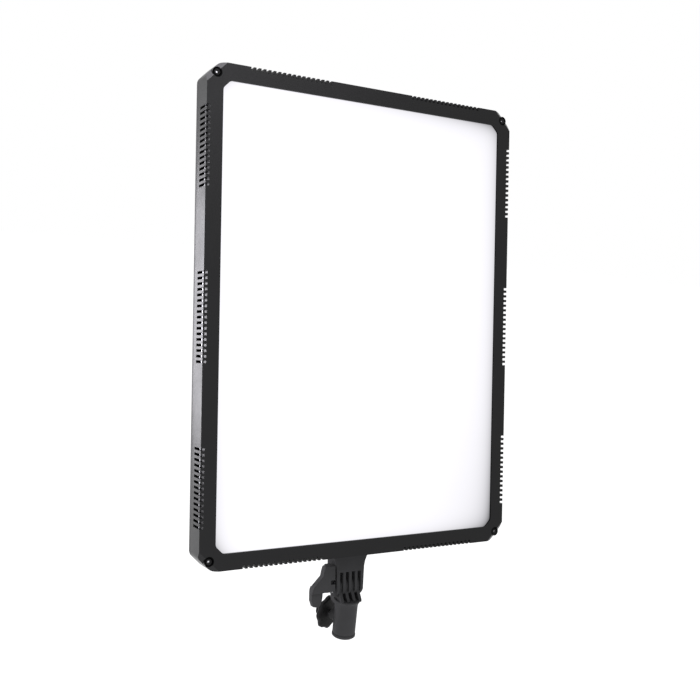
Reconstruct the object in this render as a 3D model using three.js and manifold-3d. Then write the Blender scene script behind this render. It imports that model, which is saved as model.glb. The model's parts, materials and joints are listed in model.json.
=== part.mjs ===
// LED panel light with a tilting stand bracket.
// Millimetres, +Z up, the light shines towards -Y.
// The origin is the centre of the stand receiver's lower mouth.

import * as THREE from 'three';
import { mergeVertices } from 'three/addons/utils/BufferGeometryUtils.js';
import Module from 'manifold-3d';

const wasm = await Module();
wasm.setup();

// ---------- driving dimensions ----------

// Gap kept between neighbouring pieces.
const GAP = 0.3;

// Panel casing, measured in the panel's own frame: x right, y rearward from the front face, z up.
const PANEL_WIDTH = 426;
const PANEL_HEIGHT = 571;
const PANEL_DEPTH = 33.3;
const BEZEL_WIDTH = 19.5;
const CORNER_CUT = 16;
const CORNER_SOFTENING = 4;
const WINDOW_CORNER_CUT = 9;
const WINDOW_CORNER_SOFTENING = 2.5;
const FLANGE_THICKNESS = 2.4;
const RAIL_WIDTH = 8;
const RAIL_DEPTH = 9.8;
const WALL = 2.5;
const FRAME_DEPTH = 29.6;
const COVER_WALL = 2;
// Moving a 45 degree corner cut inwards by 1 shortens it by this much.
const CUT_SHRINK = 2 - Math.SQRT2;

// Ventilation slots round the rim.
const SLOT_WIDTH = 3.1;
const SLOT_PITCH = 6.25;
const SLOT_REACH = 4.4;
const SLOT_DEPTH = 20.5;
const SIDE_SLOT_GROUPS = [
  { centre: -191.25, count: 15 },
  { centre: 0, count: 17 },
  { centre: 191.25, count: 15 },
];
const END_SLOT_GROUPS = [
  { centre: -108.75, count: 17 },
  { centre: 108.75, count: 17 },
];

// Corner posts and their screws.
const POST_INSET = 12;
const POST_RADIUS = 5.7;
const POST_SINK = 0.6;
const BEVEL_WIDTH = 5.7;
const BEVEL_DROP = 5;
const CORNER_HEAD_RADIUS = 3.7;
const CORNER_HEAD_HEIGHT = 3.6;
const CORNER_HEAD_SPACE = 0.8;
const CORNER_SHANK_RADIUS = 1.9;

// Rear cover screws.
const RIM_BOSS_INSET = 6.5;
const RIM_BOSS_RADIUS = 4.5;
const RIM_HOLE_RADIUS = 1.9;
const SIDE_SCREW_HEIGHT = 100;
const END_SCREW_X = 50;

// Optical stack, front to back.
const DIFFUSER_THICKNESS = 2;
const GUIDE_THICKNESS = 4;
const REFLECTOR_THICKNESS = 0.5;
const BACK_PLATE_THICKNESS = 2;
const STACK_INSET = RAIL_WIDTH + GAP;
const GUIDE_INSET = 11.6;
const LED_BAR_THICKNESS = 1.6;
const LED_BAR_END_SPACE = 35;
const LED_PITCH = 40;
const DIFFUSER_Y = FLANGE_THICKNESS + GAP;
const GUIDE_Y = DIFFUSER_Y + DIFFUSER_THICKNESS + GAP;
const REFLECTOR_Y = GUIDE_Y + GUIDE_THICKNESS + GAP;
const BACK_PLATE_Y = RAIL_DEPTH + GAP;
const BACK_PLATE_REAR = BACK_PLATE_Y + BACK_PLATE_THICKNESS;

// Raised middle of the rear cover.
const PLATEAU = { halfWidth: 150, low: -92, high: 210, rise: 8, slope: 8, corner: 14 };
const REAR_VENTS = { rows: 7, first: 70, pitch: 18, inner: 30, outer: 122, width: 4 };
const WIRE_OPENING = { halfWidth: 30, low: -152, high: -132 };

// Control housing on the rear cover, in the panel's frame.
const HOUSING = { halfWidth: 92, low: -205, high: -112, rear: 58, wall: 2.5, bevel: 3 };
const DISPLAY = { z: -150, halfWidth: 32, halfHeight: 18 };
const DIAL = { x: 62, z: -150, radius: 14, front: 58.6, rear: 72 };
const BUTTON = { z: -185, pitch: 22, radius: 4.2, flange: 5.4, rear: 60.2 };
const SWITCH = { x: 62, z: -187, halfWidth: 5.5, halfHeight: 8.5, pivot: 56 };
const BOARD_REAR = 45.6;
const SOCKET_Y = 45;
const POWER_INLET_X = -56;
const DATA_SOCKET_X = [11, 33];
const HOUSING_SCREW_INSET = 7;
const HOUSING_SCREW_HOLE = 1.6;

// Tilt joint: interleaved friction plates on an axis along X.
const TILT_HEIGHT = 65.5;
const TILT_BACKSET = 6.8;
const REST_LEAN = THREE.MathUtils.degToRad(9);
const PLATE_PITCH = 8.4;
const NECK_PLATE = 3.7;
const RECEIVER_PLATE = 3.9;
const PLATE_RADIUS = 13.2;
const RECEIVER_EYE_RADIUS = 10;
const RECEIVER_PLATES_X = [-1.5, -0.5, 0.5, 1.5].map((step) => step * PLATE_PITCH);
const NECK_SLOT_TOP = PLATE_RADIUS + 5.5;
const AXLE_RADIUS = 3.9;
const AXLE_HOLE = AXLE_RADIUS + GAP;

// Where the panel hangs on the tilt axis, from that axis.
const PANEL_FRONT = -46;
const PANEL_CENTRE = 332;
const NECK_FRONT = PANEL_FRONT + PANEL_DEPTH + GAP;
const NECK_REAR = 13;
const NECK_FLANGE_REAR = -4;
const NECK = {
  halfWidthLow: 18,
  halfWidthHigh: 19.6,
  flareStart: 24,
  flareEnd: 50,
  flangeHalfWidth: 38,
  flangeTop: 112,
  shoulder: 50,
};
const BRACKET_SCREW_X = 28;
const BRACKET_SCREW_HEIGHTS = [62, 98];
const BRACKET_HOLE_RADIUS = 2.3;

// Tilt bolt and lever, measured from the tilt axis.
const BOLT_RECESS = 1.2;
const WASHER_RADIUS = 8.2;
const LEVER_FACE = -NECK.halfWidthLow - 2.9;
const LEVER_FRONT = -11.5;
const LEVER_ARM_REAR = -2;
const LEVER_TAIL_FRONT = -6;
const LEVER_TAIL_REAR = 2;
const LEVER_ROOT_REAR = 8;
const LEVER_BOSS_RADIUS = 7.8;
const LEVER_BOSS_END = LEVER_FACE - 8;

// Stand receiver and its clamp.
const RECEIVER_RADIUS = 14.7;
const RIM_BAND_RADIUS = 15.1;
const RECEIVER_HEIGHT = 50;
const COLLAR_RADIUS = 17.4;
const COLLAR_START = 39;
const STEM_FRONT = -12;
const GUSSET_REAR = 17.5;
const SOCKET_RADIUS = 8.1;
const SOCKET_DEPTH = 42;
const CLAMP_HEIGHT = 21.9;
const CLAMP_DIRECTION = THREE.MathUtils.degToRad(114);
const CLAMP_BOSS_RADIUS = 7;
const CLAMP_BOSS_END = 20.5;
const KNOB_RADIUS = 21.8;
const KNOB_THICKNESS = 6.6;
const KNOB_BEVEL = 1.5;
const KNOB_LOBES = 8;
const KNOB_FLUTE_DEPTH = 2;
const KNOB_FACE = 24.2;
const KNOB_HUB_RADIUS = 8.2;
const KNOB_HUB_END = KNOB_FACE + 17;

// ---------- materials ----------

function material(color, roughness, metalness = 0) {
  return new THREE.MeshStandardMaterial({ color, roughness, metalness });
}

const CASING_BLACK = material(0x303133, 0.5, 0.2);
const MOULDED_BLACK = material(0x2c2c2e, 0.6);
const CAST_BLACK = material(0x37383a, 0.5, 0.3);
const SOFT_BLACK = material(0x222224, 0.8);
const SCREW_BLACK = material(0x1a1a1b, 0.35, 0.8);
const STEEL = material(0x9a9c9f, 0.3, 0.9);
const ALUMINIUM = material(0xb9bbbe, 0.4, 0.9);
const BRASS = material(0xb08d4a, 0.35, 0.9);
const OPAL_WHITE = material(0xf8f8fa, 0.4);
const CLEAR_ACRYLIC = material(0xe6eef2, 0.1);
const SHEET_WHITE = material(0xf2f2f2, 0.7);
const BOARD_GREEN = material(0x1f5a3a, 0.5);
const DISPLAY_BLACK = material(0x0c0d10, 0.15);
const WIRE_RED = material(0x8a2018, 0.5);

// ---------- solids ----------

function toSolid(geometry) {
  const bare = geometry.clone();
  bare.deleteAttribute('normal');
  bare.deleteAttribute('uv');
  const merged = mergeVertices(bare, 1e-4);
  const corners = merged.index.array;
  const triangles = [];
  for (let i = 0; i < corners.length; i += 3) {
    const [a, b, c] = corners.slice(i, i + 3);
    if (a !== b && b !== c && c !== a) triangles.push(a, b, c);
  }
  return new wasm.Manifold(new wasm.Mesh({
    numProp: 3,
    vertProperties: new Float32Array(merged.attributes.position.array),
    triVerts: new Uint32Array(triangles),
  }));
}

function toGeometry(solid) {
  const mesh = solid.getMesh();
  const geometry = new THREE.BufferGeometry();
  geometry.setAttribute('position', new THREE.BufferAttribute(new Float32Array(mesh.vertProperties), 3));
  geometry.setIndex(new THREE.BufferAttribute(new Uint32Array(mesh.triVerts), 1));
  geometry.computeVertexNormals();
  return geometry;
}

function piece(name, solid, look) {
  const mesh = new THREE.Mesh(toGeometry(solid), look.clone());
  mesh.name = name;
  return mesh;
}

function joined(solids) {
  return solids.reduce((whole, solid) => whole.add(solid));
}

function box(x0, x1, y0, y1, z0, z1) {
  const geometry = new THREE.BoxGeometry(x1 - x0, y1 - y0, z1 - z0);
  geometry.translate((x0 + x1) / 2, (y0 + y1) / 2, (z0 + z1) / 2);
  return toSolid(geometry);
}

function rodX(radius, x0, x1, y, z, sides = 16) {
  const geometry = new THREE.CylinderGeometry(radius, radius, x1 - x0, sides);
  geometry.rotateZ(Math.PI / 2);
  geometry.translate((x0 + x1) / 2, y, z);
  return toSolid(geometry);
}

function rodY(radius, y0, y1, x, z, sides = 24) {
  const geometry = new THREE.CylinderGeometry(radius, radius, y1 - y0, sides);
  geometry.translate(x, (y0 + y1) / 2, z);
  return toSolid(geometry);
}

function rodZ(radius, z0, z1, x, y, sides = 24) {
  const geometry = new THREE.CylinderGeometry(radius, radius, z1 - z0, sides);
  geometry.rotateX(Math.PI / 2);
  geometry.translate(x, y, (z0 + z1) / 2);
  return toSolid(geometry);
}

// A shape drawn as (x, z), filled between two depths.
function slabY(shape, y0, y1, curveSegments = 3) {
  const geometry = new THREE.ExtrudeGeometry(shape, { depth: y1 - y0, bevelEnabled: false, curveSegments });
  geometry.rotateX(Math.PI / 2);
  geometry.translate(0, y1, 0);
  return toSolid(geometry);
}

// The same with both rims rounded off by a bevel.
function cushionY(shape, y0, y1, bevel, curveSegments = 3) {
  const geometry = new THREE.ExtrudeGeometry(shape, {
    depth: y1 - y0 - 2 * bevel,
    bevelThickness: bevel,
    bevelSize: bevel,
    bevelOffset: -bevel,
    bevelSegments: 1,
    curveSegments,
  });
  geometry.rotateX(Math.PI / 2);
  geometry.translate(0, y1 - bevel, 0);
  return toSolid(geometry);
}

// A shape drawn as (y, z), filled between two sideways positions.
function slabX(shape, x0, x1, curveSegments = 8) {
  const geometry = new THREE.ExtrudeGeometry(shape, { depth: x1 - x0, bevelEnabled: false, curveSegments });
  geometry.rotateX(Math.PI / 2);
  geometry.rotateZ(Math.PI / 2);
  geometry.translate(x0, 0, 0);
  return toSolid(geometry);
}

function polygon(points) {
  return new THREE.Shape(points.map(([x, y]) => new THREE.Vector2(x, y)));
}

function roundedBox(x0, x1, z0, z1, radius) {
  const shape = new THREE.Shape();
  shape.moveTo(x0 + radius, z0);
  shape.lineTo(x1 - radius, z0);
  shape.quadraticCurveTo(x1, z0, x1, z0 + radius);
  shape.lineTo(x1, z1 - radius);
  shape.quadraticCurveTo(x1, z1, x1 - radius, z1);
  shape.lineTo(x0 + radius, z1);
  shape.quadraticCurveTo(x0, z1, x0, z1 - radius);
  shape.lineTo(x0, z0 + radius);
  shape.quadraticCurveTo(x0, z0, x0 + radius, z0);
  return shape;
}

// A closed outline whose every corner is eased by a short curve.
function easedOutline(points, easing) {
  const corners = points.map(([x, z]) => new THREE.Vector2(x, z));
  const count = corners.length;
  const shape = new THREE.Shape();
  corners.forEach((corner, i) => {
    const before = corners[(i + count - 1) % count].clone().sub(corner).setLength(easing).add(corner);
    const after = corners[(i + 1) % count].clone().sub(corner).setLength(easing).add(corner);
    if (i === 0) shape.moveTo(before.x, before.y);
    else shape.lineTo(before.x, before.y);
    shape.quadraticCurveTo(corner.x, corner.y, after.x, after.y);
  });
  shape.closePath();
  return shape;
}

// A rectangle with its four corners cut at 45 degrees.
function cutRectangle(halfWidth, halfHeight, cut, easing = 0) {
  const points = [
    [-halfWidth + cut, -halfHeight],
    [halfWidth - cut, -halfHeight],
    [halfWidth, -halfHeight + cut],
    [halfWidth, halfHeight - cut],
    [halfWidth - cut, halfHeight],
    [-halfWidth + cut, halfHeight],
    [-halfWidth, halfHeight - cut],
    [-halfWidth, -halfHeight + cut],
  ];
  return easing > 0 ? easedOutline(points, easing) : polygon(points);
}

// The casing's outline moved inwards by an even amount.
function casingOutline(inset) {
  const cut = CORNER_CUT - CUT_SHRINK * inset;
  const easing = Math.max(CORNER_SOFTENING - 0.4 * inset, 0.5);
  return cutRectangle(PANEL_WIDTH / 2 - inset, PANEL_HEIGHT / 2 - inset, cut, easing);
}

// A smaller sheet inside the casing, with its own corner cut.
function sheetOutline(inset, cut, easing = 0) {
  return cutRectangle(PANEL_WIDTH / 2 - inset, PANEL_HEIGHT / 2 - inset, cut, easing);
}

// ---------- places that repeat ----------

const CORNERS = [[-1, 1], [1, 1], [-1, -1], [1, -1]];

const POSTS = CORNERS.map(([sx, sz]) => ({
  sx,
  sz,
  x: sx * (PANEL_WIDTH / 2 - POST_INSET),
  z: sz * (PANEL_HEIGHT / 2 - POST_INSET),
}));

const SIDE_BOSS_X = PANEL_WIDTH / 2 - RIM_BOSS_INSET;
const END_BOSS_Z = PANEL_HEIGHT / 2 - RIM_BOSS_INSET;
const RIM_BOSSES = CORNERS.flatMap(([sx, sz]) => [
  { x: sx * SIDE_BOSS_X, z: sz * SIDE_SCREW_HEIGHT },
  { x: sx * END_SCREW_X, z: sz * END_BOSS_Z },
]);

const BRACKET_SCREWS = BRACKET_SCREW_HEIGHTS.flatMap((height) => [-1, 1].map((side) => ({
  x: side * BRACKET_SCREW_X,
  z: height - PANEL_CENTRE,
})));

const HOUSING_SCREWS = CORNERS.map(([sx, sz]) => ({
  x: sx * (HOUSING.halfWidth - HOUSING_SCREW_INSET),
  z: sz > 0 ? HOUSING.high - HOUSING_SCREW_INSET : HOUSING.low + HOUSING_SCREW_INSET,
}));

// ---------- casing ----------

function slotPositions(groups) {
  return groups.flatMap(({ centre, count }) => {
    const first = centre - (count - 1) / 2 * SLOT_PITCH;
    return Array.from({ length: count }, (_, i) => first + i * SLOT_PITCH);
  });
}

function ventSlots() {
  const slots = [];
  const half = SLOT_WIDTH / 2;
  for (const side of [-1, 1]) {
    const outerX = side * (PANEL_WIDTH / 2 + 1);
    const innerX = side * (PANEL_WIDTH / 2 - SLOT_REACH);
    const outerZ = side * (PANEL_HEIGHT / 2 + 1);
    const innerZ = side * (PANEL_HEIGHT / 2 - SLOT_REACH);
    for (const z of slotPositions(SIDE_SLOT_GROUPS)) {
      slots.push(box(Math.min(outerX, innerX), Math.max(outerX, innerX), -1, SLOT_DEPTH, z - half, z + half));
    }
    for (const x of slotPositions(END_SLOT_GROUPS)) {
      slots.push(box(x - half, x + half, -1, SLOT_DEPTH, Math.min(outerZ, innerZ), Math.max(outerZ, innerZ)));
    }
  }
  return joined(slots);
}

// The wedge that slopes a corner back from the front face.
function cornerBevel({ sx, sz }) {
  const outside = 3;
  const slope = BEVEL_DROP / BEVEL_WIDTH;
  const profile = polygon([
    [-BEVEL_WIDTH - 1 / slope, -1],
    [outside, -1],
    [outside, BEVEL_DROP + outside * slope],
  ]);
  const length = 3 * CORNER_CUT;
  const geometry = new THREE.ExtrudeGeometry(profile, { depth: length, bevelEnabled: false });
  geometry.translate(0, 0, -length / 2);
  geometry.rotateY(Math.atan2(-sz, sx));
  geometry.translate(sx * (PANEL_WIDTH - CORNER_CUT) / 2, 0, sz * (PANEL_HEIGHT - CORNER_CUT) / 2);
  return toSolid(geometry);
}

function frontFrame() {
  const window = sheetOutline(BEZEL_WIDTH, WINDOW_CORNER_CUT, WINDOW_CORNER_SOFTENING);
  let solid = slabY(casingOutline(0), 0, FRAME_DEPTH);
  solid = solid.subtract(slabY(window, -1, FLANGE_THICKNESS + 1));
  solid = solid.subtract(slabY(casingOutline(RAIL_WIDTH), FLANGE_THICKNESS, RAIL_DEPTH + 1));
  solid = solid.subtract(slabY(casingOutline(WALL), RAIL_DEPTH, FRAME_DEPTH + 1));
  for (const corner of POSTS) {
    solid = solid.subtract(cornerBevel(corner));
  }
  const reach = slabY(casingOutline(0), 0, FRAME_DEPTH);
  for (const { x, z } of POSTS) {
    solid = solid.add(rodY(POST_RADIUS, POST_SINK, FRAME_DEPTH, x, z, 24).intersect(reach));
  }
  const bossReach = slabY(casingOutline(0.5), 0, FRAME_DEPTH);
  for (const { x, z } of RIM_BOSSES) {
    solid = solid.add(rodY(RIM_BOSS_RADIUS, RAIL_DEPTH - 0.4, FRAME_DEPTH, x, z, 10).intersect(bossReach));
    solid = solid.subtract(rodY(RIM_HOLE_RADIUS, RAIL_DEPTH + 4, FRAME_DEPTH + 1, x, z, 8));
  }
  const headFloor = POST_SINK + CORNER_HEAD_HEIGHT + GAP;
  for (const { x, z } of POSTS) {
    solid = solid.subtract(rodY(CORNER_SHANK_RADIUS + GAP, -1, FRAME_DEPTH + 1, x, z, 8));
    solid = solid.subtract(rodY(CORNER_HEAD_RADIUS + CORNER_HEAD_SPACE, -1, headFloor, x, z, 20));
  }
  return piece('front_frame', solid.subtract(ventSlots()), CASING_BLACK);
}

function plateauShape(inset) {
  return roundedBox(
    -PLATEAU.halfWidth + inset,
    PLATEAU.halfWidth - inset,
    PLATEAU.low + inset,
    PLATEAU.high - inset,
    PLATEAU.corner,
  );
}

// A raised block whose sides slope inwards from its foot at y0 to its top at y1.
function plateauBlock(inset, y0, y1) {
  const geometry = new THREE.ExtrudeGeometry(plateauShape(inset), {
    depth: 1,
    bevelThickness: y1 - y0,
    bevelSize: PLATEAU.slope,
    bevelOffset: -PLATEAU.slope,
    bevelSegments: 1,
    curveSegments: 3,
  });
  geometry.rotateX(-Math.PI / 2);
  geometry.rotateY(Math.PI);
  geometry.translate(0, y0 - 1, 0);
  return toSolid(geometry).intersect(box(-400, 400, y0 - 1, y1 + 1, -400, 400));
}

function rearVents() {
  const { rows, first, pitch, inner, outer, width } = REAR_VENTS;
  const front = PANEL_DEPTH - 4;
  const rear = PANEL_DEPTH + 20;
  const vents = [];
  for (const side of [-1, 1]) {
    const left = Math.min(side * inner, side * outer);
    const right = left + outer - inner;
    for (let row = 0; row < rows; row += 1) {
      const z = first + row * pitch;
      vents.push(box(left, right, front, rear, z - width / 2, z + width / 2));
    }
  }
  return joined(vents);
}

function rearCover() {
  const inner = PANEL_DEPTH - COVER_WALL;
  const top = PANEL_DEPTH + PLATEAU.rise;
  let solid = slabY(casingOutline(0), FRAME_DEPTH + GAP, PANEL_DEPTH);
  solid = solid.subtract(slabY(casingOutline(WALL), FRAME_DEPTH, inner));
  solid = solid.add(plateauBlock(0, PANEL_DEPTH, top));
  solid = solid.subtract(plateauBlock(COVER_WALL, inner, top - COVER_WALL));
  for (const { x, z } of POSTS) {
    const lug = rodY(POST_RADIUS, FRAME_DEPTH + GAP, PANEL_DEPTH, x, z, 12);
    solid = solid.add(lug.intersect(slabY(casingOutline(0), FRAME_DEPTH, PANEL_DEPTH)));
    solid = solid.subtract(rodY(CORNER_SHANK_RADIUS + GAP, FRAME_DEPTH, PANEL_DEPTH - 0.8, x, z, 8));
  }
  for (const { x, z } of RIM_BOSSES) {
    solid = solid.subtract(rodY(RIM_HOLE_RADIUS, FRAME_DEPTH, PANEL_DEPTH + 1, x, z, 8));
  }
  for (const { x, z } of BRACKET_SCREWS) {
    solid = solid.add(rodY(5, inner - 8, inner + 0.5, x, z, 10));
    solid = solid.subtract(rodY(BRACKET_HOLE_RADIUS, inner - 9, PANEL_DEPTH + 1, x, z, 8));
  }
  for (const { x, z } of HOUSING_SCREWS) {
    solid = solid.subtract(rodY(HOUSING_SCREW_HOLE, FRAME_DEPTH, PANEL_DEPTH + 1, x, z, 8));
  }
  const { halfWidth, low, high } = WIRE_OPENING;
  solid = solid.subtract(box(-halfWidth, halfWidth, FRAME_DEPTH, PANEL_DEPTH + 1, low, high));
  return piece('rear_cover', solid.subtract(rearVents()), MOULDED_BLACK);
}

// ---------- optical stack ----------

function diffuser() {
  const solid = slabY(sheetOutline(STACK_INSET, 20), DIFFUSER_Y, DIFFUSER_Y + DIFFUSER_THICKNESS);
  return piece('diffuser', solid, OPAL_WHITE);
}

function lightGuide() {
  const solid = slabY(sheetOutline(GUIDE_INSET, 14), GUIDE_Y, GUIDE_Y + GUIDE_THICKNESS);
  return piece('light_guide', solid, CLEAR_ACRYLIC);
}

function reflectorSheet() {
  const solid = slabY(sheetOutline(GUIDE_INSET, 14), REFLECTOR_Y, REFLECTOR_Y + REFLECTOR_THICKNESS);
  return piece('reflector_sheet', solid, SHEET_WHITE);
}

function backPlate() {
  let solid = slabY(sheetOutline(WALL + 0.5, 30), BACK_PLATE_Y, BACK_PLATE_REAR);
  const reach = RIM_BOSS_RADIUS + 0.5;
  for (const { x, z } of RIM_BOSSES) {
    solid = solid.subtract(box(x - reach, x + reach, 0, FRAME_DEPTH, z - reach, z + reach));
  }
  return piece('back_plate', solid, ALUMINIUM);
}

// A light bar standing on edge inside the rail, its emitters facing the middle.
function ledBar(name, length, place) {
  const bar = [box(-length / 2, length / 2, GUIDE_Y, GUIDE_Y + GUIDE_THICKNESS, 0, LED_BAR_THICKNESS)];
  const count = Math.floor(length / LED_PITCH);
  for (let i = 0; i < count; i += 1) {
    const x = (i - (count - 1) / 2) * LED_PITCH;
    bar.push(box(
      x - 1.75,
      x + 1.75,
      GUIDE_Y + 0.6,
      GUIDE_Y + 3.4,
      LED_BAR_THICKNESS - 0.2,
      LED_BAR_THICKNESS + 1,
    ));
  }
  const mesh = piece(name, joined(bar), BOARD_GREEN);
  mesh.rotation.y = place.turn;
  mesh.position.set(place.x, 0, place.z);
  return mesh;
}

function ledBars() {
  const sideX = PANEL_WIDTH / 2 - STACK_INSET;
  const endZ = PANEL_HEIGHT / 2 - STACK_INSET;
  const sideLength = PANEL_HEIGHT - 2 * LED_BAR_END_SPACE;
  const endLength = PANEL_WIDTH - 2 * LED_BAR_END_SPACE;
  return [
    ledBar('led_bar_bottom', endLength, { x: 0, z: -endZ, turn: 0 }),
    ledBar('led_bar_top', endLength, { x: 0, z: endZ, turn: Math.PI }),
    ledBar('led_bar_left', sideLength, { x: -sideX, z: 0, turn: Math.PI / 2 }),
    ledBar('led_bar_right', sideLength, { x: sideX, z: 0, turn: -Math.PI / 2 }),
  ];
}

// ---------- electronics ----------

function powerBoard() {
  const face = BACK_PLATE_REAR + 6;
  const solids = [box(-105, 105, face - 1.6, face, -40, 50)];
  for (const x of [-95, 95]) {
    for (const z of [-32, 42]) solids.push(rodY(3, BACK_PLATE_REAR + GAP, face - 1, x, z, 8));
  }
  for (const x of [-70, -40, -10]) solids.push(rodY(9, face - 0.5, face + 14, x, -15, 12));
  solids.push(box(15, 50, face - 0.5, face + 15, -30, 5));
  solids.push(box(62, 88, face - 0.5, face + 12, -30, 30));
  solids.push(box(-80, 40, face - 0.5, face + 10, 22, 28));
  return piece('power_board', joined(solids), BOARD_GREEN);
}

function controlBoard() {
  const solids = [box(-79, 79, BOARD_REAR - 1.6, BOARD_REAR, HOUSING.low + 17, HOUSING.high - 6)];
  for (let i = -1; i <= 1; i += 1) {
    const x = i * BUTTON.pitch;
    solids.push(box(x - 3, x + 3, BOARD_REAR - 0.5, BOARD_REAR + 4, BUTTON.z - 3, BUTTON.z + 3));
  }
  solids.push(box(-14, 14, BOARD_REAR - 0.5, BOARD_REAR + 2, HOUSING.high - 26, HOUSING.high - 14));
  const standoffs = [[-74, HOUSING.low + 23], [74, HOUSING.high - 13], [-74, HOUSING.high - 13]];
  for (const [x, z] of standoffs) {
    solids.push(rodY(3, PANEL_DEPTH + GAP, BOARD_REAR - 1, x, z, 8));
  }
  return piece('control_board', joined(solids), BOARD_GREEN);
}

// The bundle of leads between the two boards, through the cover's opening.
function innerWiring() {
  const depthInside = BACK_PLATE_REAR + 8;
  const route = new THREE.CatmullRomCurve3([
    new THREE.Vector3(-10, depthInside, -41),
    new THREE.Vector3(-10, depthInside, -70),
    new THREE.Vector3(-6, depthInside + 2, -110),
    new THREE.Vector3(0, PANEL_DEPTH - 4, -136),
    new THREE.Vector3(0, PANEL_DEPTH + 6, -142),
    new THREE.Vector3(0, BOARD_REAR - 5, -147),
  ]);
  const section = new THREE.Shape();
  section.absarc(0, 0, 2.4, 0, 2 * Math.PI);
  const geometry = new THREE.ExtrudeGeometry(section, {
    extrudePath: route,
    steps: 14,
    curveSegments: 4,
    bevelEnabled: false,
  });
  return piece('inner_wiring', toSolid(geometry), WIRE_RED);
}

// ---------- control housing ----------

function displayOutline(inset) {
  return roundedBox(
    -DISPLAY.halfWidth + inset,
    DISPLAY.halfWidth - inset,
    DISPLAY.z - DISPLAY.halfHeight + inset,
    DISPLAY.z + DISPLAY.halfHeight - inset,
    3,
  );
}

function controlHousing() {
  const { halfWidth, low, high, rear, wall, bevel } = HOUSING;
  const front = PANEL_DEPTH + GAP;
  let solid = cushionY(roundedBox(-halfWidth, halfWidth, low, high, 8), front - 10, rear, bevel);
  solid = solid.intersect(box(-200, 200, front, rear + 1, -400, 0));
  const hollow = roundedBox(-halfWidth + wall, halfWidth - wall, low + wall, high - wall, 6);
  solid = solid.subtract(slabY(hollow, front - 1, rear - wall, 3));
  for (const { x, z } of HOUSING_SCREWS) {
    solid = solid.add(rodY(4.5, front, rear - 1, x, z, 12));
    solid = solid.subtract(rodY(3.4, front + 6, rear + 1, x, z, 12));
    solid = solid.subtract(rodY(HOUSING_SCREW_HOLE, front - 1, rear, x, z, 8));
  }
  const cutFront = rear - wall - 1;
  const cutRear = rear + 1;
  solid = solid.subtract(slabY(displayOutline(0), cutFront, cutRear, 3));
  for (const side of [-1, 1]) {
    solid = solid.subtract(rodY(4.4, cutFront, cutRear, side * DIAL.x, DIAL.z, 12));
  }
  for (let i = -1; i <= 1; i += 1) {
    solid = solid.subtract(rodY(BUTTON.radius + 0.4, cutFront, cutRear, i * BUTTON.pitch, BUTTON.z, 16));
  }
  const switchHalfWidth = SWITCH.halfWidth + 2;
  const switchHalfHeight = SWITCH.halfHeight + 2;
  solid = solid.subtract(box(
    SWITCH.x - switchHalfWidth,
    SWITCH.x + switchHalfWidth,
    cutFront,
    cutRear,
    SWITCH.z - switchHalfHeight,
    SWITCH.z + switchHalfHeight,
  ));
  solid = solid.subtract(rodZ(10, low - 1, low + wall + 1, POWER_INLET_X, SOCKET_Y, 20));
  for (const x of DATA_SOCKET_X) {
    solid = solid.subtract(box(x - 8.3, x + 8.3, SOCKET_Y - 7.3, SOCKET_Y + 7.3, low - 1, low + wall + 1));
  }
  return piece('control_housing', solid, MOULDED_BLACK);
}

function displayModule() {
  const { halfWidth, halfHeight, z } = DISPLAY;
  const rear = HOUSING.rear - HOUSING.wall - GAP;
  const solid = box(-halfWidth - 2, halfWidth + 2, rear - 4, rear, z - halfHeight - 2, z + halfHeight + 1.5);
  const board = BOARD_REAR + GAP;
  const legs = [-halfWidth, halfWidth - 3].map((x) => box(x, x + 3, board, rear - 3, z - 3, z + 3));
  return piece('display_module', joined([solid, ...legs]), SOFT_BLACK);
}

function displayWindow() {
  const front = HOUSING.rear - HOUSING.wall + 0.2;
  return piece('display_window', slabY(displayOutline(GAP), front, HOUSING.rear - 0.4, 3), DISPLAY_BLACK);
}

function encoder(name, side) {
  const x = side * DIAL.x;
  const body = BOARD_REAR + GAP;
  const solid = joined([
    box(x - 6.5, x + 6.5, body, body + 6.5, DIAL.z - 6.5, DIAL.z + 6.5),
    rodY(3.6, body + 6, HOUSING.rear - 0.5, x, DIAL.z, 12),
    rodY(3, body + 6, DIAL.rear - 4.4, x, DIAL.z, 12),
  ]);
  return piece(name, solid, STEEL);
}

function fluteOutline(radius, flutes, depth, samples) {
  const points = Array.from({ length: samples }, (_, i) => {
    const angle = 2 * Math.PI * i / samples;
    const r = radius - depth * (0.5 - 0.5 * Math.cos(flutes * angle));
    return [r * Math.cos(angle), r * Math.sin(angle)];
  });
  return polygon(points);
}

function dial(name, side) {
  const { x, z, radius, front, rear } = DIAL;
  const skirt = new THREE.ExtrudeGeometry(fluteOutline(radius, 16, 0.8, 64), {
    depth: rear - front - 2,
    bevelEnabled: false,
  });
  skirt.rotateX(Math.PI / 2);
  skirt.translate(0, rear - 2, 0);
  const crown = new THREE.CylinderGeometry(radius - 2.6, radius - 1.2, 2, 24);
  crown.translate(0, rear - 1, 0);
  let solid = toSolid(skirt).add(toSolid(crown));
  solid = solid.subtract(rodY(radius - 3.5, front - 1, front + 3, 0, 0, 16));
  solid = solid.add(rodY(5.5, front, front + 4, 0, 0, 12));
  solid = solid.subtract(rodY(3.4, front - 1, rear - 3.8, 0, 0, 12));
  solid = solid.subtract(box(-0.6, 0.6, rear - 0.6, rear + 1, 5, radius + 1));
  const mesh = piece(name, solid, SOFT_BLACK);
  mesh.position.set(side * x, 0, z);
  return mesh;
}

function button(name, index) {
  const x = index * BUTTON.pitch;
  const inside = HOUSING.rear - HOUSING.wall - GAP;
  const solid = joined([
    rodY(BUTTON.flange, inside - 2.2, inside, x, BUTTON.z, 16),
    rodY(BUTTON.radius, inside - 1, BUTTON.rear, x, BUTTON.z, 16),
  ]);
  return piece(name, solid, SOFT_BLACK);
}

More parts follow.
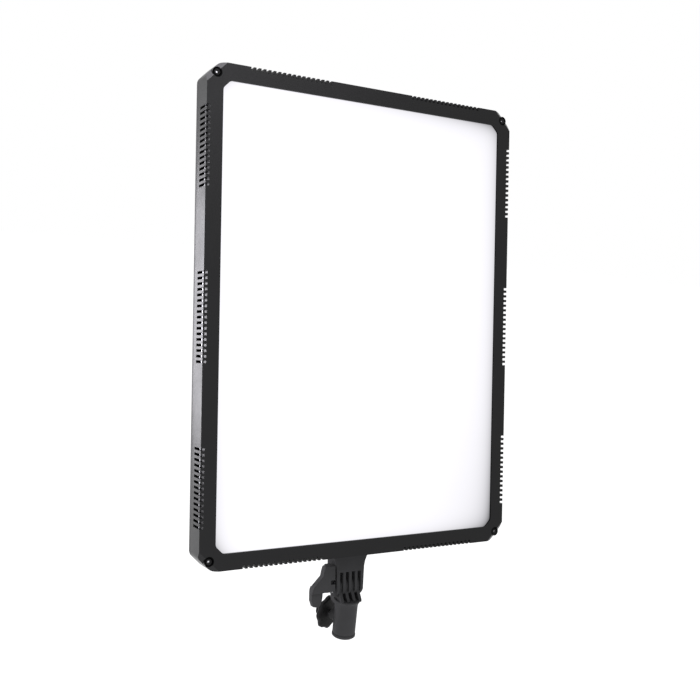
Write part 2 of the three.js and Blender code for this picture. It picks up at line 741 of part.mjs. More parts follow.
function switchBezel() {
  const { x, z, halfWidth, halfHeight } = SWITCH;
  const rear = HOUSING.rear;
  const aroundRocker = (spread, y0, y1) => box(
    x - halfWidth - spread,
    x + halfWidth + spread,
    y0,
    y1,
    z - halfHeight - spread,
    z + halfHeight + spread,
  );
  let solid = aroundRocker(1.6, BOARD_REAR + 1, rear + 0.5);
  solid = solid.add(aroundRocker(3.5, rear + GAP, rear + 1.6));
  solid = solid.subtract(aroundRocker(0, BOARD_REAR + 3, rear + 2));
  return piece('switch_bezel', solid, MOULDED_BLACK);
}

function powerRocker() {
  const tilt = THREE.MathUtils.degToRad(8);
  const shape = polygon([[-3, -7.2], [-3, 7.2], [3.4, 7.9], [2, 0], [3.4, -7.9]]);
  const solid = slabX(shape, -SWITCH.halfWidth + 0.4, SWITCH.halfWidth - 0.4);
  const geometry = toGeometry(solid);
  geometry.rotateX(tilt);
  const mesh = new THREE.Mesh(geometry, SOFT_BLACK.clone());
  mesh.name = 'power_rocker';
  mesh.position.set(SWITCH.x, SWITCH.pivot, SWITCH.z);
  return mesh;
}

function powerInlet() {
  const low = HOUSING.low;
  let solid = joined([
    rodZ(9.6, low - 1, low + 15, POWER_INLET_X, SOCKET_Y, 20),
    rodZ(11.4, low - 2.3, low - GAP, POWER_INLET_X, SOCKET_Y, 20),
  ]);
  solid = solid.subtract(rodZ(7.9, low - 3, low + 12, POWER_INLET_X, SOCKET_Y, 20));
  for (let i = 0; i < 4; i += 1) {
    const angle = Math.PI / 4 + i * Math.PI / 2;
    solid = solid.add(rodZ(1.1, low + 4, low + 13,
      POWER_INLET_X + 4.2 * Math.cos(angle), SOCKET_Y + 4.2 * Math.sin(angle), 6));
  }
  return piece('power_inlet', solid, STEEL);
}

function dataSocket(name, x) {
  const low = HOUSING.low;
  let solid = box(x - 8, x + 8, SOCKET_Y - 7, SOCKET_Y + 7, low - 0.8, low + 15.5);
  solid = solid.subtract(box(x - 5.9, x + 5.9, SOCKET_Y - 4, SOCKET_Y + 3.4, low - 2, low + 12.5));
  solid = solid.subtract(box(x - 3, x + 3, SOCKET_Y - 5.4, SOCKET_Y - 3, low - 2, low + 9));
  return piece(name, solid, STEEL);
}

// ---------- fasteners ----------

// A socket head screw pointing along +Y, its head's outer face at y = 0.
function socketScrew(name, head, shank, x, y, z, sides) {
  let solid = rodY(head.radius, 0, head.height, 0, 0, sides);
  solid = solid.add(rodY(shank.radius, head.height - 0.5, head.height + shank.length, 0, 0, 8));
  solid = solid.subtract(rodY(head.socket, -1, head.height * 0.6, 0, 0, 6));
  const mesh = piece(name, solid, SCREW_BLACK);
  mesh.position.set(x, y, z);
  return mesh;
}

function cornerScrews() {
  const head = { radius: CORNER_HEAD_RADIUS, height: CORNER_HEAD_HEIGHT, socket: 1.9 };
  const shank = { radius: CORNER_SHANK_RADIUS, length: FRAME_DEPTH - CORNER_HEAD_HEIGHT + 1 };
  return POSTS.map(({ x, z }, i) => socketScrew(`corner_screw_${i + 1}`, head, shank, x, POST_SINK, z, 18));
}

function rearwardScrews(prefix, places, head, shank, y) {
  return places.map(({ x, z }, i) => {
    const mesh = socketScrew(`${prefix}_${i + 1}`, head, shank, x, y, z, 12);
    mesh.rotation.z = Math.PI;
    return mesh;
  });
}

function coverScrews() {
  const head = { radius: 3.2, height: 1.9, socket: 1.3 };
  const shank = { radius: 1.6, length: 10 };
  return rearwardScrews('cover_screw', RIM_BOSSES, head, shank, PANEL_DEPTH + GAP + head.height);
}

function housingScrews() {
  const head = { radius: 2.8, height: 2, socket: 1.2 };
  const shank = { radius: 1.3, length: 8 };
  const y = PANEL_DEPTH + GAP + 6 + GAP + head.height;
  return rearwardScrews('housing_screw', HOUSING_SCREWS, head, shank, y);
}

function bracketScrews() {
  const head = { radius: 4.2, height: 3.4, socket: 2 };
  const shank = { radius: 2, length: 15 };
  const y = NECK_FLANGE_REAR - PANEL_FRONT + GAP + head.height;
  return rearwardScrews('bracket_screw', BRACKET_SCREWS, head, shank, y);
}

// ---------- neck and tilt joint, measured from the tilt axis ----------

function neckColumnShape() {
  return polygon([
    [-NECK.halfWidthLow, -16],
    [NECK.halfWidthLow, -16],
    [NECK.halfWidthHigh, NECK.flareStart],
    [NECK.halfWidthHigh, NECK.flangeTop],
    [-NECK.halfWidthHigh, NECK.flangeTop],
    [-NECK.halfWidthHigh, NECK.flareStart],
  ]);
}

function neckSideShape() {
  const shape = new THREE.Shape();
  const front = NECK_FRONT;
  const meet = Math.atan2(-Math.sqrt(PLATE_RADIUS ** 2 - front ** 2), front);
  shape.moveTo(front, NECK.flangeTop);
  shape.lineTo(PLATE_RADIUS * Math.cos(meet), PLATE_RADIUS * Math.sin(meet));
  shape.absarc(0, 0, PLATE_RADIUS, meet, 0, false);
  shape.lineTo(NECK_REAR, NECK.shoulder);
  shape.quadraticCurveTo(NECK_REAR - 3, NECK.flangeTop - 24, NECK_FLANGE_REAR, NECK.flangeTop - 8);
  shape.lineTo(NECK_FLANGE_REAR, NECK.flangeTop);
  shape.closePath();
  return shape;
}

function neckFlangeShape() {
  const { halfWidthHigh, flareStart, flareEnd, flangeHalfWidth, flangeTop } = NECK;
  const radius = 12;
  const shape = new THREE.Shape();
  shape.moveTo(-halfWidthHigh, flareStart - 4);
  shape.lineTo(halfWidthHigh, flareStart - 4);
  shape.lineTo(halfWidthHigh, flareStart);
  shape.quadraticCurveTo(halfWidthHigh + 2, flareEnd - 8, flangeHalfWidth, flareEnd);
  shape.lineTo(flangeHalfWidth, flangeTop - radius);
  shape.quadraticCurveTo(flangeHalfWidth, flangeTop, flangeHalfWidth - radius, flangeTop);
  shape.lineTo(-flangeHalfWidth + radius, flangeTop);
  shape.quadraticCurveTo(-flangeHalfWidth, flangeTop, -flangeHalfWidth, flangeTop - radius);
  shape.lineTo(-flangeHalfWidth, flareEnd);
  shape.quadraticCurveTo(-halfWidthHigh - 2, flareEnd - 8, -halfWidthHigh, flareStart);
  shape.closePath();
  return shape;
}

function neckBracket() {
  const column = slabX(neckSideShape(), -60, 60, 4).intersect(slabY(neckColumnShape(), -40, 40));
  let solid = column.add(slabY(neckFlangeShape(), NECK_FRONT, NECK_FLANGE_REAR, 5));
  const halfGap = (PLATE_PITCH - NECK_PLATE) / 2;
  for (const x of RECEIVER_PLATES_X) {
    solid = solid.subtract(box(x - halfGap, x + halfGap, -20, 20, -20, NECK_SLOT_TOP));
  }
  solid = solid.subtract(rodX(AXLE_HOLE, -40, 40, 0, 0));
  solid = solid.subtract(rodX(8, NECK.halfWidthLow - BOLT_RECESS, 40, 0, 0, 6));
  for (const height of BRACKET_SCREW_HEIGHTS) {
    for (const side of [-1, 1]) {
      solid = solid.subtract(rodY(BRACKET_HOLE_RADIUS, NECK_FRONT - 1, 0, side * BRACKET_SCREW_X, height, 8));
    }
  }
  return piece('neck_bracket', solid, CAST_BLACK);
}

function tiltBolt() {
  const headInner = NECK.halfWidthLow - BOLT_RECESS + GAP;
  const solid = rodX(7.4, headInner, headInner + 3.6, 0, 0, 6).add(
    rodX(AXLE_RADIUS, LEVER_BOSS_END + 1, headInner + 1, 0, 0));
  return piece('tilt_bolt', solid, STEEL);
}

function tiltWasher() {
  const face = -NECK.halfWidthLow - 1;
  const solid = rodX(WASHER_RADIUS, face - 1.5, face, 0, 0, 24).subtract(
    rodX(AXLE_HOLE, face - 3, face + 1, 0, 0));
  return piece('tilt_washer', solid, STEEL);
}

// The lever's upper arm, which sweeps outwards and down from beside the neck.
function leverArmShape() {
  const shape = new THREE.Shape();
  shape.moveTo(LEVER_FACE, -4.5);
  shape.lineTo(LEVER_FACE, 28);
  shape.lineTo(-34.5, 28);
  shape.quadraticCurveTo(-36.5, 25, -38, 16);
  shape.lineTo(-46, 8);
  shape.quadraticCurveTo(-52, 3, -53, -3);
  shape.lineTo(-52.5, -4.5);
  shape.closePath();
  return shape;
}

// The hooked tail, set back behind the arm.
function leverTailShape() {
  const shape = new THREE.Shape();
  shape.moveTo(-34.5, 2);
  shape.lineTo(-49, 3);
  shape.quadraticCurveTo(-51, 0, -51, -5);
  shape.lineTo(-51, -14.5);
  shape.quadraticCurveTo(-50, -17, -48.5, -22);
  shape.lineTo(-41.5, -23.5);
  shape.quadraticCurveTo(-38.5, -22, -37, -17);
  shape.quadraticCurveTo(-35.5, -12, -35.5, -6);
  shape.closePath();
  return shape;
}

// The root that bears on the washer, drawn as (y, z).
function leverRootShape() {
  return polygon([
    [LEVER_FRONT, -4.5],
    [LEVER_ROOT_REAR, -4.5],
    [LEVER_ROOT_REAR, 20],
    [LEVER_ROOT_REAR - 4, 28],
    [LEVER_FRONT, 28],
  ]);
}

function tiltLever() {
  let solid = joined([
    slabY(leverArmShape(), LEVER_FRONT, LEVER_ARM_REAR, 5),
    slabY(leverTailShape(), LEVER_TAIL_FRONT, LEVER_TAIL_REAR, 5),
    slabX(leverRootShape(), LEVER_BOSS_END, LEVER_FACE),
    rodX(LEVER_BOSS_RADIUS, LEVER_BOSS_END, LEVER_FACE, 0, 0, 24),
  ]);
  solid = solid.subtract(rodX(AXLE_HOLE, LEVER_BOSS_END + 0.7, LEVER_FACE + 1, 0, 0));
  solid = solid.subtract(box(LEVER_FACE - 6, LEVER_FACE + 1, LEVER_FRONT - 1, LEVER_FRONT + 6, 5, 10));
  return piece('tilt_lever', solid, SOFT_BLACK);
}

// ---------- stand receiver, measured from the origin ----------

function receiverBarrel() {
  const radius = RECEIVER_RADIUS;
  const band = RIM_BAND_RADIUS;
  const outline = new THREE.Path();
  outline.moveTo(SOCKET_RADIUS + 0.8, 0);
  outline.lineTo(band - 1.2, 0);
  outline.lineTo(band, 1.2);
  outline.lineTo(band, 3.6);
  outline.lineTo(radius - 0.6, 4);
  outline.lineTo(radius - 0.6, 5);
  outline.lineTo(radius, 5.5);
  outline.lineTo(radius, COLLAR_START);
  outline.quadraticCurveTo(radius, RECEIVER_HEIGHT - 4, COLLAR_RADIUS, RECEIVER_HEIGHT - 2);
  outline.lineTo(COLLAR_RADIUS, RECEIVER_HEIGHT - 0.7);
  outline.lineTo(COLLAR_RADIUS - 0.7, RECEIVER_HEIGHT);
  outline.lineTo(0, RECEIVER_HEIGHT);
  outline.lineTo(0, SOCKET_DEPTH);
  outline.lineTo(SOCKET_RADIUS, SOCKET_DEPTH);
  outline.lineTo(SOCKET_RADIUS, 0.8);
  outline.lineTo(SOCKET_RADIUS + 0.8, 0);
  const geometry = new THREE.LatheGeometry(outline.getPoints(4), 28);
  geometry.rotateX(Math.PI / 2);
  return toSolid(geometry);
}

// One upright plate of the tilt joint, drawn as (y, z): a round eye on a stem from the collar.
function receiverPlateShape() {
  const front = TILT_BACKSET - RECEIVER_EYE_RADIUS;
  const rear = TILT_BACKSET + RECEIVER_EYE_RADIUS;
  const shape = new THREE.Shape();
  shape.moveTo(STEM_FRONT, RECEIVER_HEIGHT - 2);
  shape.lineTo(GUSSET_REAR - 1, RECEIVER_HEIGHT - 2);
  shape.lineTo(rear, TILT_HEIGHT - 3);
  shape.lineTo(rear, TILT_HEIGHT);
  shape.absarc(TILT_BACKSET, TILT_HEIGHT, RECEIVER_EYE_RADIUS, 0, Math.PI, false);
  shape.lineTo(front, TILT_HEIGHT - 4);
  shape.lineTo(STEM_FRONT, RECEIVER_HEIGHT + 1);
  shape.closePath();
  return shape;
}

// The rib under the plates, where they overhang the barrel at the rear.
function receiverGusset() {
  const profile = polygon([
    [0, COLLAR_START + 2],
    [RECEIVER_RADIUS - 1, COLLAR_START + 4],
    [GUSSET_REAR, RECEIVER_HEIGHT - 3],
    [GUSSET_REAR, RECEIVER_HEIGHT],
    [0, RECEIVER_HEIGHT],
  ]);
  const reach = 1.5 * PLATE_PITCH + RECEIVER_PLATE / 2;
  return slabX(profile, -reach, reach);
}

// A piece drawn along +X from the barrel's axis, turned to face the clamp knob.
function clampward(solid) {
  const geometry = toGeometry(solid);
  geometry.rotateZ(CLAMP_DIRECTION);
  geometry.translate(0, 0, CLAMP_HEIGHT);
  return toSolid(geometry);
}

function standReceiver() {
  const socket = rodZ(SOCKET_RADIUS, -1, SOCKET_DEPTH, 0, 0, 28);
  const boss = clampward(rodX(CLAMP_BOSS_RADIUS, RECEIVER_RADIUS - 3, CLAMP_BOSS_END, 0, 0, 24));
  let solid = receiverBarrel().add(receiverGusset()).add(boss.subtract(socket));
  for (const x of RECEIVER_PLATES_X) {
    solid = solid.add(slabX(receiverPlateShape(), x - RECEIVER_PLATE / 2, x + RECEIVER_PLATE / 2, 12));
  }
  solid = solid.subtract(rodX(AXLE_HOLE, -30, 30, TILT_BACKSET, TILT_HEIGHT));
  solid = solid.subtract(clampward(rodX(AXLE_HOLE, 0, CLAMP_BOSS_END + 1, 0, 0)));
  return piece('stand_receiver', solid, CAST_BLACK);
}

function clampShoe() {
  return piece('clamp_shoe', rodX(3.8, SOCKET_RADIUS + GAP, 11.3, 0, 0), BRASS);
}

function clampStud() {
  return piece('clamp_stud', rodX(AXLE_RADIUS, 11.6, KNOB_HUB_END - 7, 0, 0), STEEL);
}

function clampKnob() {
  const outline = fluteOutline(KNOB_RADIUS, KNOB_LOBES, KNOB_FLUTE_DEPTH, 56);
  const geometry = new THREE.ExtrudeGeometry(outline, {
    depth: KNOB_THICKNESS - 2 * KNOB_BEVEL,
    bevelThickness: KNOB_BEVEL,
    bevelSize: KNOB_BEVEL,
    bevelOffset: -KNOB_BEVEL,
    bevelSegments: 1,
  });
  geometry.rotateY(Math.PI / 2);
  geometry.translate(KNOB_FACE + KNOB_BEVEL, 0, 0);
  let solid = toSolid(geometry);
  solid = solid.add(rodX(KNOB_HUB_RADIUS, KNOB_FACE + 1, KNOB_HUB_END, 0, 0, 24));
  solid = solid.subtract(rodX(AXLE_HOLE, KNOB_FACE - 1, KNOB_HUB_END - 6.7, 0, 0));
  solid = solid.subtract(rodX(6, KNOB_HUB_END - 2, KNOB_HUB_END + 1, 0, 0, 24));
  return piece('clamp_knob', solid, SOFT_BLACK);
}

function knobCap() {
  const solid = rodX(5.7, KNOB_HUB_END - 1.7, KNOB_HUB_END + 0.5, 0, 0, 24);
  return piece('knob_cap', solid, SOFT_BLACK);
}

// ---------- assembly ----------

function lightHead() {
  const head = new THREE.Group();
  head.position.set(0, PANEL_FRONT, PANEL_CENTRE);
  head.add(
    frontFrame(),
    rearCover(),
    diffuser(),
    lightGuide(),
    reflectorSheet(),
    backPlate(),
    ...ledBars(),
    powerBoard(),
    controlBoard(),
    innerWiring(),
    controlHousing(),
    displayModule(),
    displayWindow(),
    encoder('dimmer_encoder', -1),
    encoder('colour_encoder', 1),
    dial('dimmer_dial', -1),
    dial('colour_dial', 1),
    button('mode_button', -1),
    button('menu_button', 0),
    button('enter_button', 1),
    switchBezel(),
    powerRocker(),
    powerInlet(),
    dataSocket('data_in_socket', DATA_SOCKET_X[0]),
    dataSocket('data_out_socket', DATA_SOCKET_X[1]),
    ...cornerScrews(),
    ...coverScrews(),
    ...housingScrews(),
    ...bracketScrews(),
  );
  return head;
}

function tiltingGroup() {
  const group = new THREE.Group();
  group.position.set(0, TILT_BACKSET, TILT_HEIGHT);
  group.rotation.x = -REST_LEAN;
  group.add(lightHead(), neckBracket(), tiltBolt(), tiltWasher(), tiltLever());
  return group;
}

function clampGroup() {
  const group = new THREE.Group();
  group.position.set(0, 0, CLAMP_HEIGHT);
  group.rotation.z = CLAMP_DIRECTION;
  group.add(clampShoe(), clampStud(), clampKnob(), knobCap());
  return group;
}

const light = new THREE.Group();
light.add(standReceiver(), clampGroup(), tiltingGroup());

export default light;
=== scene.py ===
"""LED panel light on a tilting stand bracket: the looks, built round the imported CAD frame.

Metres, +Z up, the light shines towards -Y. The casing's own frame is used for what sits on it:
x right, y rearward from the casing's front face, z up from its centre.
"""

import json
import math

import bpy
from mathutils import Matrix, Vector

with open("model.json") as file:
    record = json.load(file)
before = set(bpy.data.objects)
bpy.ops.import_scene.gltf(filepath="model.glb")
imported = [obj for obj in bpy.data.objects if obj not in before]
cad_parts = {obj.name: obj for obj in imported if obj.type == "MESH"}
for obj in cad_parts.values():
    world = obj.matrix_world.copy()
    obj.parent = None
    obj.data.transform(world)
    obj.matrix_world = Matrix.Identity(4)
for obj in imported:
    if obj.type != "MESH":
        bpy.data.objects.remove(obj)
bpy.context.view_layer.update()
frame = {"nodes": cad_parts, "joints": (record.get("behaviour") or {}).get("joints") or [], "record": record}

# ---------- driving dimensions ----------

MM = 0.001

# Casing, the sloped bevel on its cut corners and the screw posts in them.
PANEL_WIDTH = 426 * MM
PANEL_HEIGHT = 571 * MM
BEZEL_WIDTH = 19.5 * MM
CORNER_CUT = 16 * MM
BEVEL_WIDTH = 5.7 * MM
BEVEL_DROP = 5 * MM
POST_INSET = 12 * MM
POST_RADIUS = 5.9 * MM
SOCKET_GLINT_RADIUS = 1.3 * MM

# The casing's paint: its gloss, its tone on the left and on the right, which is painted light that falls off
# towards the right, the black of its posts and the painted shade in its slots, and how deep inside the walls
# that painted shade is halfway to black.
CASING_SHINE = 0.2
CASING_LIT_LEFT = 0.0085
CASING_SHADED_RIGHT = 0.003
POST_BLACK_AND_SLOT_SHADE = 0.003
SLOT_SHADE_DEPTH = 2 * MM

# Stand receiver: where its cast plates begin, and their tone.
COLLAR_TOP = 49 * MM
CAST_PLATE_TONE = 0.034

# Tilt axis, and where the casing hangs on it.
TILT_AXIS = Vector(next(j["pos_m"] for j in frame["joints"] if j["name"] == "tilt"))
REST_LEAN = math.radians(-9)
PANEL_FRONT = -46 * MM
PANEL_CENTRE = 332 * MM
LEAN = Matrix.Translation(TILT_AXIS) @ Matrix.Rotation(REST_LEAN, 4, "X")
PANEL = LEAN @ Matrix.Translation((0, PANEL_FRONT, PANEL_CENTRE))

# The diffuser's glow, and how far its dimming reaches in from the edges and from the corners; the dimming is
# partly the panel's own fall-off and partly painted shade.
GLOW_COLOUR = (0.985, 0.975, 1.02)
GLOW_FLOOR = 0.12
EDGE_FADE = 9 * MM
SIDE_FADE = 45 * MM
CORNER_FADE = 125 * MM

# Paint patches per metre, and the middle range of a noise texture.
PATCH_SCALE = 22.0
NOISE_LOW = 0.3
NOISE_HIGH = 0.7

# How much the edges of a node are rounded, and the angles between faces that count as sharp or flat.
PLAIN_ROUNDING = 0.25 * MM
EDGE_ROUNDING = {
    "tilt_lever": 1.2 * MM,
    "clamp_knob": 0.6 * MM,
    "stand_receiver": 0.5 * MM,
    "neck_bracket": 0.5 * MM,
    "front_frame": 0.3 * MM,
}
SHARP_ANGLE = math.radians(35)
FLAT_ANGLE = math.radians(0.5)
MERGE_DISTANCE = 0.01 * MM

# A trace of violet in the lamps.
LAMP_TINT = (0.985, 0.965, 1.03)

# Floor.
FLOOR_LEVEL = -0.9
FLOOR_SIZE = 60

# Camera.
CAMERA_PLACE = Vector((-0.5594, -0.9305, 0.522))
CAMERA_FORWARD = Vector((0.48942, 0.86036, -0.14231)).normalized()
CAMERA_UP = Vector((-0.01293, 0.17033, 0.9853))
CAMERA_LENS = 46.36
CAMERA_NEAR = 0.05


# ---------- shader nodes ----------

def new_material(name):
    """A material and its node tree, with only the principled shader and the output in it."""
    made = bpy.data.materials.new(name)
    made.use_nodes = True
    return made, made.node_tree, made.node_tree.nodes["Principled BSDF"]


def add_node(tree, kind, **values):
    """A node of that kind, with its inputs or its own settings set by name."""
    node = tree.nodes.new("ShaderNode" + kind)
    for key, value in values.items():
        if key in node.inputs:
            node.inputs[key].default_value = value
        else:
            setattr(node, key, value)
    return node


def object_place(tree):
    """A point's place in the piece's own frame, which moves with the piece."""
    return add_node(tree, "TexCoord").outputs["Object"]


def noise(tree, scale, detail=3.0):
    """Noise that sits still on the piece. scale is in features per metre."""
    made = add_node(tree, "TexNoise", Scale=scale, Detail=detail, Roughness=0.6)
    tree.links.new(object_place(tree), made.inputs["Vector"])
    return made.outputs["Fac"]


def map_range(tree, value, start, end, low=0.0, high=1.0):
    """Runs from low to high while the value runs from start to end, and stays there beyond."""
    made = add_node(tree, "MapRange")
    made.inputs["From Min"].default_value = start
    made.inputs["From Max"].default_value = end
    made.inputs["To Min"].default_value = low
    made.inputs["To Max"].default_value = high
    tree.links.new(value, made.inputs["Value"])
    return made.outputs["Result"]


def spread(tree, value, low, high):
    """Maps a texture's middle range onto low..high."""
    return map_range(tree, value, NOISE_LOW, NOISE_HIGH, low, high)


def step(tree, value, edge, softness):
    """0 below the edge and 1 above it, with a short soft change between."""
    return map_range(tree, value, edge - softness / 2, edge + softness / 2)


def tint(tree, value, dark, light):
    """A colour that runs from dark to light as the texture's value rises."""
    made = add_node(tree, "ValToRGB")
    start, end = made.color_ramp.elements
    start.position = NOISE_LOW
    start.color = (*dark, 1)
    end.position = NOISE_HIGH
    end.color = (*light, 1)
    tree.links.new(value, made.inputs["Fac"])
    return made.outputs["Color"]


def grain(tree, shader, scale, height):
    """A fine bump of that height in metres."""
    made = add_node(tree, "Bump", Strength=1.0, Distance=height)
    tree.links.new(noise(tree, scale, 2.0), made.inputs["Height"])
    tree.links.new(made.outputs["Normal"], shader.inputs["Normal"])


def math_node(tree, operation, *values):
    """A maths node; each value is a number or another node's output."""
    made = add_node(tree, "Math", operation=operation)
    for socket, value in zip(made.inputs, values):
        if isinstance(value, (int, float)):
            socket.default_value = value
        else:
            tree.links.new(value, socket)
    return made.outputs["Value"]


def mixed(tree, amount, first, second, blend="MIX"):
    """Two colours mixed; the amount is a number or an output, a colour is a triple or an output."""
    made = add_node(tree, "Mix", data_type="RGBA", blend_type=blend)
    # A Mix node's two colours are its inputs 6 and 7, and its mixed colour is its output 2.
    sockets = (made.inputs["Factor"], made.inputs[6], made.inputs[7])
    for socket, value in zip(sockets, (amount, first, second)):
        if isinstance(value, tuple):
            socket.default_value = (*value, 1)
        elif isinstance(value, float):
            socket.default_value = value
        else:
            tree.links.new(value, socket)
    return made.outputs[2]


def grey(level):
    """A grey with a trace of blue."""
    return (level, level, level * 1.04)


# ---------- places on the casing ----------

def panel_place(tree):
    """A point's place on the casing: sideways and up from the centre, rearward from the front."""
    place = object_place(tree)
    parts = []
    for axis in range(3):
        direction = PANEL.col[axis].xyz
        along = add_node(tree, "VectorMath", operation="DOT_PRODUCT")
        along.inputs[1].default_value = direction
        tree.links.new(place, along.inputs[0])
        origin = PANEL.translation.dot(direction)
        parts.append(math_node(tree, "SUBTRACT", along.outputs["Value"], origin))
    across, depth, height = parts
    return across, height, depth


def post_distance(tree):
    """How far a point of the casing is from the axis of the nearest corner post."""
    across, height, _ = panel_place(tree)
    post_x = PANEL_WIDTH / 2 - POST_INSET
    post_z = PANEL_HEIGHT / 2 - POST_INSET
    aside = math_node(tree, "SUBTRACT", math_node(tree, "ABSOLUTE", across), post_x)
    above = math_node(tree, "SUBTRACT", math_node(tree, "ABSOLUTE", height), post_z)
    squares = [math_node(tree, "MULTIPLY", part, part) for part in (aside, above)]
    return math_node(tree, "SQRT", math_node(tree, "ADD", *squares))


def inwardness(tree):
    """How far a point lies inside the casing's outer walls, or 0 on its front face."""
    across, height, depth = panel_place(tree)
    aside = math_node(tree, "SUBTRACT", PANEL_WIDTH / 2, math_node(tree, "ABSOLUTE", across))
    above = math_node(tree, "SUBTRACT", PANEL_HEIGHT / 2, math_node(tree, "ABSOLUTE", height))
    cut = math_node(tree, "SUBTRACT", math_node(tree, "ADD", aside, above), CORNER_CUT)
    least = math_node(tree, "MINIMUM", math_node(tree, "MINIMUM", aside, above), cut)
    slope = math_node(tree, "MULTIPLY", cut, BEVEL_DROP / BEVEL_WIDTH / math.sqrt(2))
    face = math_node(tree, "MAXIMUM", math_node(tree, "SUBTRACT", BEVEL_DROP, slope), 0.0)
    under = math_node(tree, "SUBTRACT", depth, face)
    return math_node(tree, "MULTIPLY", least, step(tree, under, 0.5 * MM, 0.2 * MM))


def window_distances(tree):
    """How far a point of the diffuser is from the window's right, left, top and bottom edge."""
    across, height, _ = panel_place(tree)
    half_width = PANEL_WIDTH / 2 - BEZEL_WIDTH
    half_height = PANEL_HEIGHT / 2 - BEZEL_WIDTH
    return {
        "right": math_node(tree, "SUBTRACT", half_width, across),
        "left": math_node(tree, "ADD", half_width, across),
        "top": math_node(tree, "SUBTRACT", half_height, height),
        "bottom": math_node(tree, "ADD", half_height, height),
    }


def fade(tree, distance, reach):
    """Falls from 1 at an edge towards 0 over that reach."""
    return math_node(tree, "EXPONENT", math_node(tree, "DIVIDE", distance, -reach))


# ---------- materials ----------

def coated(name, dark, light, rough, grain_scale, grain_height, metallic=0.0, shine=0.3):
    """Paint, powder coat or moulded plastic: slow changes of tone and gloss over a fine grain."""
    made, tree, shader = new_material(name)
    patches = noise(tree, PATCH_SCALE, 5.0)
    tree.links.new(tint(tree, patches, dark, light), shader.inputs["Base Color"])
    tree.links.new(spread(tree, patches, *rough), shader.inputs["Roughness"])
    shader.inputs["Metallic"].default_value = metallic
    shader.inputs["Specular IOR Level"].default_value = shine
    grain(tree, shader, grain_scale, grain_height)
    return made


def coat_parts(made):
    """The node tree of a coated material, its shader and the output that colours it."""
    tree = made.node_tree
    shader = tree.nodes["Principled BSDF"]
    return tree, shader, shader.inputs["Base Color"].links[0].from_socket


def casing_metal():
    """Powder coat, lighter on the left as painted light that falls off to the right, black on the corner
    posts, and black within the vent slots as painted shade.
    """
    made = coated("casing_metal", grey(0.9), grey(1.0), (0.32, 0.4), 2600, 0.00004, shine=CASING_SHINE)
    tree, shader, patches = coat_parts(made)
    across, _, _ = panel_place(tree)
    rightward = map_range(tree, across, -PANEL_WIDTH / 2, PANEL_WIDTH / 2)
    # Painted light: the paint is lighter on the left and darker on the right, standing in for the fall-off
    # of light.
    paint = mixed(tree, rightward, grey(CASING_LIT_LEFT), grey(CASING_SHADED_RIGHT))
    off_post = step(tree, post_distance(tree), POST_RADIUS, 0.6 * MM)
    # Painted shade: black within the vent slots, below the casing's outer faces.
    inside = step(tree, inwardness(tree), SLOT_SHADE_DEPTH, 3 * MM)
    open_paint = math_node(tree, "MULTIPLY", off_post, math_node(tree, "SUBTRACT", 1.0, inside))
    coat = mixed(tree, open_paint, grey(POST_BLACK_AND_SLOT_SHADE), paint)
    tree.links.new(mixed(tree, 1.0, coat, patches, "MULTIPLY"), shader.inputs["Base Color"])
    tree.links.new(math_node(tree, "SUBTRACT", 1.0, open_paint), shader.inputs["Metallic"])
    return made


def cover_moulding():
    return coated("cover_moulding", grey(0.014), grey(0.019), (0.5, 0.6), 1800, 0.00006)


def cast_metal():
    return coated("cast_metal", grey(0.034), grey(0.042), (0.65, 0.75), 1500, 0.00007, shine=0.03)


def receiver_metal():
    """Satin paint on the turned barrel, and one darker tone on the cast plates above its collar."""
    made = coated("receiver_metal", grey(0.036), grey(0.044), (0.45, 0.55), 1500, 0.00005, shine=0.05)
    tree, shader, paint = coat_parts(made)
    split = add_node(tree, "SeparateXYZ")
    tree.links.new(object_place(tree), split.inputs[0])
    above = step(tree, split.outputs["Z"], COLLAR_TOP, 1 * MM)
    tree.links.new(mixed(tree, above, paint, grey(CAST_PLATE_TONE)), shader.inputs["Base Color"])
    return made


def lever_plastic():
    return coated("lever_plastic", grey(0.034), grey(0.044), (0.6, 0.7), 1900, 0.00005, shine=0.07)


def knob_plastic():
    return coated("knob_plastic", grey(0.005), grey(0.008), (0.5, 0.6), 1900, 0.00005, shine=0.12)


def dial_rubber():
    return coated("dial_rubber", grey(0.012), grey(0.016), (0.75, 0.85), 3000, 0.00003)


def button_plastic():
    return coated("button_plastic", grey(0.016), grey(0.022), (0.35, 0.45), 3000, 0.00002)


def black_screws():
    return coated("black_screws", grey(0.02), grey(0.04), (0.25, 0.35), 2500, 0.00002, metallic=0.7)


def corner_screw_steel():
    """Blackened heads with a painted glint: bright metal in their sockets."""
    made = coated("corner_screw_steel", grey(0.004), grey(0.008), (0.35, 0.5), 2500, 0.00002, shine=0.1)
    tree, shader, black = coat_parts(made)
    off_painted_glint = step(tree, post_distance(tree), SOCKET_GLINT_RADIUS, 0.8 * MM)
    # Painted glint: bright metal within the socket stands in for its highlight.
    tree.links.new(mixed(tree, off_painted_glint, grey(0.9), black), shader.inputs["Base Color"])
    tree.links.new(math_node(tree, "SUBTRACT", 1.0, off_painted_glint), shader.inputs["Metallic"])
    return made


def bright_steel():
    return coated("bright_steel", grey(0.45), grey(0.6), (0.22, 0.34), 1500, 0.00002, metallic=1.0)


def bare_aluminium():
    return coated("bare_aluminium", grey(0.5), grey(0.62), (0.3, 0.42), 900, 0.00003, metallic=1.0)


def brass_pad():
    dark = (0.42, 0.25, 0.08)
    light = (0.6, 0.4, 0.15)
    return coated("brass_pad", dark, light, (0.25, 0.4), 1500, 0.00002, metallic=1.0)


def display_body():
    return coated("display_body", grey(0.014), grey(0.02), (0.5, 0.6), 2200, 0.00003)


def display_glass():
    return coated("display_glass", grey(0.004), grey(0.006), (0.05, 0.08), 60, 0.000002)


